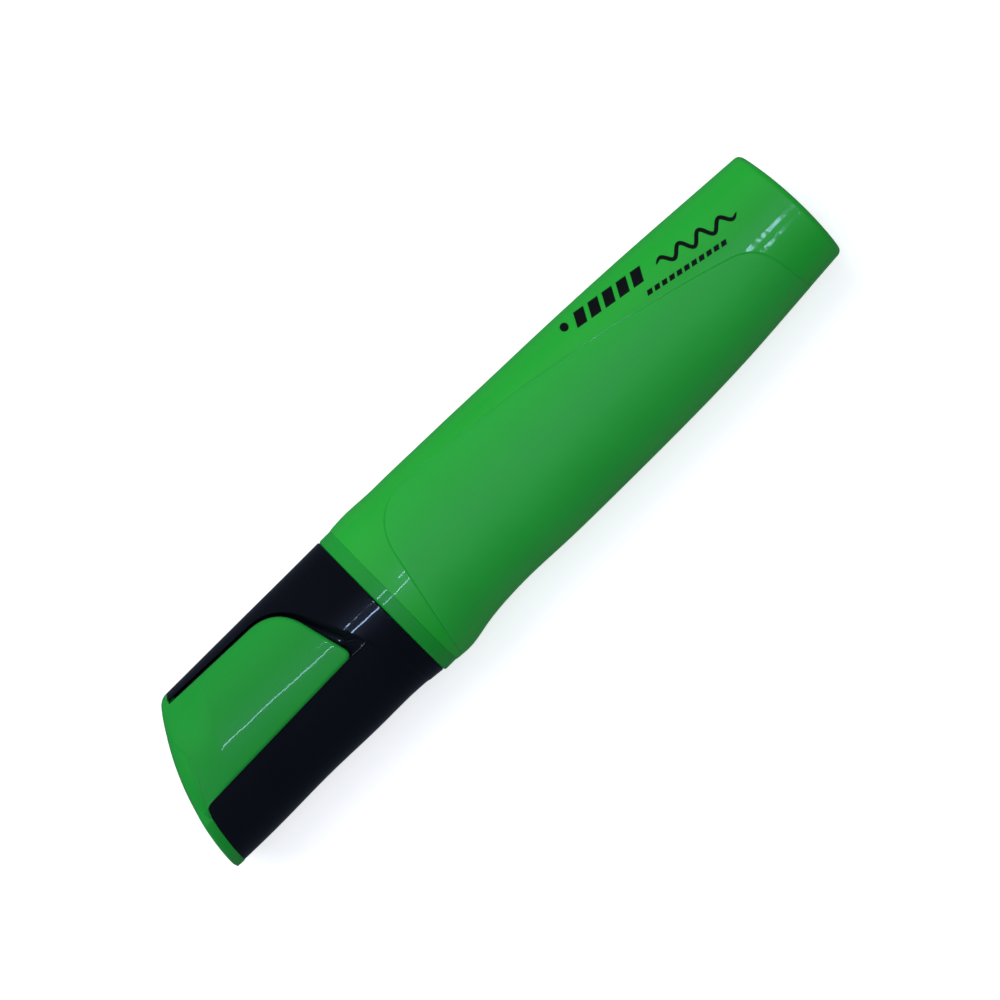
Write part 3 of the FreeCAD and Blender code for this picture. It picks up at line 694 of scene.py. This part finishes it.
marks = [
    printed_dot((-25.6, -10.0), 0.65),
    *printed_row((-27.4, -9.55), (-39.6, -7.55), 5, 0.3, 2.2),
    printed_wave((-41.2, -7.1), (-54.6, -4.35), 0.85, 4.0, 0.6),
    *printed_row((-37.4, -5.05), (-51.0, -2.3), 11, 0.32, 0.75),
]
for number, plan in enumerate(marks):
    ink, back = (BARREL.over(plan[..., 0], plan[..., 1], out) for out in (0.012, -0.03))
    welded_mesh(f"print_mark_{number:02d}", lined_faces(ink, back), "pen")

# ------------------------------------------------------------------ materials


def linear(code):
    """An sRGB hex colour as linear RGBA."""
    parts = [int(code[i : i + 2], 16) / 255 for i in (1, 3, 5)]
    return [c / 12.92 if c <= 0.04045 else ((c + 0.055) / 1.055) ** 2.4 for c in parts] + [1.0]


def node(tree, kind, settings=None, links=None):
    """Adds a node, sets its sockets and properties, and links sockets to it."""
    made = tree.nodes.new(kind)
    for key, value in (settings or {}).items():
        if isinstance(key, int) or key in made.inputs:
            made.inputs[key].default_value = value
        else:
            setattr(made, key, value)
    for key, source in (links or {}).items():
        tree.links.new(source, made.inputs[key])
    return made


def new_material(name):
    material = bpy.data.materials.new(name)
    material.use_nodes = True
    tree = material.node_tree
    tree.nodes.clear()
    return material, tree


def moulded(name, light, dark, roughness, grain_mm, grain_height_mm, coat=0.0, specular=0.4):
    """Moulded plastic: a faint drift of colour from the melt, a fine surface grain, and a skin
    (coat) where the mould was polished."""
    material, tree = new_material(name)
    place = node(tree, "ShaderNodeTexCoord").outputs["Object"]
    drift = node(tree, "ShaderNodeTexNoise", {"Scale": 60.0, "Detail": 2.0}, {"Vector": place})
    ramp = node(tree, "ShaderNodeValToRGB", None, {"Fac": drift.outputs["Fac"]})
    ramp.color_ramp.elements[0].color = linear(dark)
    ramp.color_ramp.elements[0].position = 0.3
    ramp.color_ramp.elements[1].color = linear(light)
    ramp.color_ramp.elements[1].position = 0.7
    grain = node(
        tree, "ShaderNodeTexNoise", {"Scale": 1000.0 / grain_mm, "Detail": 2.0}, {"Vector": place}
    )
    bump = node(
        tree, "ShaderNodeBump", {"Strength": 1.0, "Distance": grain_height_mm * MM},
        {"Height": grain.outputs["Fac"]},
    )
    rough = node(
        tree, "ShaderNodeMapRange", {"To Min": roughness * 0.9, "To Max": roughness * 1.12},
        {"Value": drift.outputs["Fac"]},
    )
    shader = node(
        tree, "ShaderNodeBsdfPrincipled",
        {"IOR": 1.49, "Specular IOR Level": specular, "Coat Weight": coat, "Coat Roughness": 0.04},
        {"Base Color": ramp.outputs["Color"], "Normal": bump.outputs["Normal"],
         "Coat Normal": bump.outputs["Normal"], "Roughness": rough.outputs["Result"]},
    )
    node(tree, "ShaderNodeOutputMaterial", None, {"Surface": shader.outputs["BSDF"]})
    return material


# Polypropylene from a polished mould: bright, a little cloudy under a thin gloss
barrel_green = moulded("green_polypropylene_gloss", "#179429", "#159127", 0.34, 3.0, 0.012, 0.25)
# The same resin in the cap's cover and clip, a deeper green with a softer bloom
clip_green = moulded(
    "deep_green_polypropylene_gloss", "#12842a", "#108028", 0.36, 3.0, 0.012, 0.25, 0.25
)
# Thermoplastic elastomer from a blasted mould: no streaks, only a broad pale sheen
grip_matte = moulded("green_elastomer_matte", "#15942d", "#12902a", 0.5, 0.25, 0.006, 0.0, 0.5)
# Black polypropylene, polished: nearly no colour of its own, thin bluish streaks of light
cap_black = moulded("black_polypropylene_gloss", "#06060d", "#04040a", 0.3, 3.0, 0.012, 0.5, 0.15)
# Natural polypropylene, unpolished: milky
natural = moulded("natural_polypropylene", "#d8dcd4", "#ccd2c8", 0.4, 0.5, 0.004)
# Sintered fibre full of ink: no gloss at all, a coarse grain
felt = moulded("ink_soaked_felt", "#3fd832", "#2fbf27", 0.85, 0.3, 0.05, 0.0, 0.15)
# Polypropylene wrapping film: thin, glossy
film = moulded("clear_film", "#cfe0d0", "#c2d6c4", 0.15, 2.0, 0.001)
# Solvent ink laid on by a pad: flat black with a low sheen
ink_print = moulded("black_pad_print", "#0a0c0c", "#070808", 0.4, 0.3, 0.002, 0.0, 0.3)

FINISHES = {
    "barrel_shell": barrel_green, "end_cover": clip_green, "clip_strip": clip_green,
    "grip_skin": grip_matte, "cap_shell": cap_black,
    "nose_section": clip_green, "inner_cap": natural, "nib": felt, "ink_reservoir": felt,
    "reservoir_film": film,
}
FINISHES.update({f"print_mark_{number:02d}": ink_print for number in range(len(marks))})
for name, material in FINISHES.items():
    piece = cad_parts.get(name) or bpy.data.objects[name]
    piece.data.materials.clear()
    piece.data.materials.append(material)

# ------------------------------------------------------------------ studio

floor_mesh = bpy.data.meshes.new("floor")
floor_mesh.from_pydata([(-2, -2, 0), (2, -2, 0), (2, 2, 0), (-2, 2, 0)], [], [(0, 1, 2, 3)])
floor = bpy.data.objects.new("floor", floor_mesh)
bpy.context.collection.objects.link(floor)
floor_material, floor_tree = new_material("pale_paper")
paper = node(
    floor_tree, "ShaderNodeBsdfPrincipled",
    {"Base Color": (0.6, 0.6, 0.6, 1), "Roughness": 0.9, "Specular IOR Level": 0.1,
     "Emission Color": (1, 1, 1, 1), "Emission Strength": 0.62},
)
node(floor_tree, "ShaderNodeOutputMaterial", None, {"Surface": paper.outputs["BSDF"]})
floor_mesh.materials.append(floor_material)
floor.visible_glossy = False


def area_light(name, place, aim, size, power, colour, in_reflections):
    """A rectangular softbox at a place, turned to face a point."""
    data = bpy.data.lights.new(name, "AREA")
    data.shape = "RECTANGLE"
    data.size, data.size_y = size
    data.energy = power
    data.color = linear(colour)[:3]
    light = bpy.data.objects.new(name, data)
    light.location = place
    light.rotation_euler = (Vector(aim) - Vector(place)).to_track_quat("-Z", "Y").to_euler()
    light.visible_camera = False
    light.visible_glossy = in_reflections
    bpy.context.collection.objects.link(light)


# soft light from the spine side and from above, which the gloss doesn't mirror
area_light("key", (0.35, -0.9, 0.8), (0, 0, 0), (1.4, 1.1), 16.5, "#ffffff", False)
area_light("fill", (0.0, 0.0, 1.3), (0, 0, 0), (2.0, 2.0), 13.0, "#ffffff", False)
# bluish tubes straight above, which are the thin streaks: two over the cap and the barrel's mouth,
# and two short ones that show only in the gloss between the grip and the tail
TUBE_HEIGHT = 0.95
TUBES = {
    "tube_1": ((-0.0175, -0.113), (0.155, 0.016), 0.35),
    "tube_2": ((0.0225, 0.0), (0.235, 0.016), 0.485),
    "tail_1": ((-0.165, 0.062), (0.006, 0.075), 0.1),
    "tail_2": ((-0.165, 0.245), (0.006, 0.075), 0.1),
}
for name, (place, size, power) in TUBES.items():
    area_light(name, (*place, TUBE_HEIGHT), (*place, 0), size, power, "#b4d2ff", True)

# white behind the floor's edge, a dim bluish room in what the pen reflects
world = bpy.data.worlds.new("studio")
world.use_nodes = True
sky = world.node_tree
sky.nodes.clear()
room = node(sky, "ShaderNodeBackground", {"Color": (0.55, 0.7, 1.0, 1), "Strength": 0.12})
wall = node(sky, "ShaderNodeBackground", {"Color": (1, 1, 1, 1), "Strength": 1.0})
seen = node(sky, "ShaderNodeLightPath").outputs["Is Camera Ray"]
both = node(
    sky, "ShaderNodeMixShader", None,
    {0: seen, 1: room.outputs["Background"], 2: wall.outputs["Background"]},
)
node(sky, "ShaderNodeOutputWorld", None, {"Surface": both.outputs["Shader"]})
bpy.context.scene.world = world
bpy.context.scene.view_settings.view_transform = "Standard"

# a long lens, so the pen's ends aren't drawn out; the view is this wide at the pen's mid-plane
VIEW_WIDTH = 0.1433
camera_data = bpy.data.cameras.new("camera")
camera_data.lens = 400.0
camera_data.sensor_width = 36.0
distance = VIEW_WIDTH / camera_data.sensor_width * camera_data.lens
camera = bpy.data.objects.new("camera", camera_data)
camera.location = (-0.0017, 0.0011, MID_HEIGHT * MM + distance)
camera.rotation_euler = (0, 0, math.radians(135.27))
bpy.context.collection.objects.link(camera)
bpy.context.scene.camera = camera
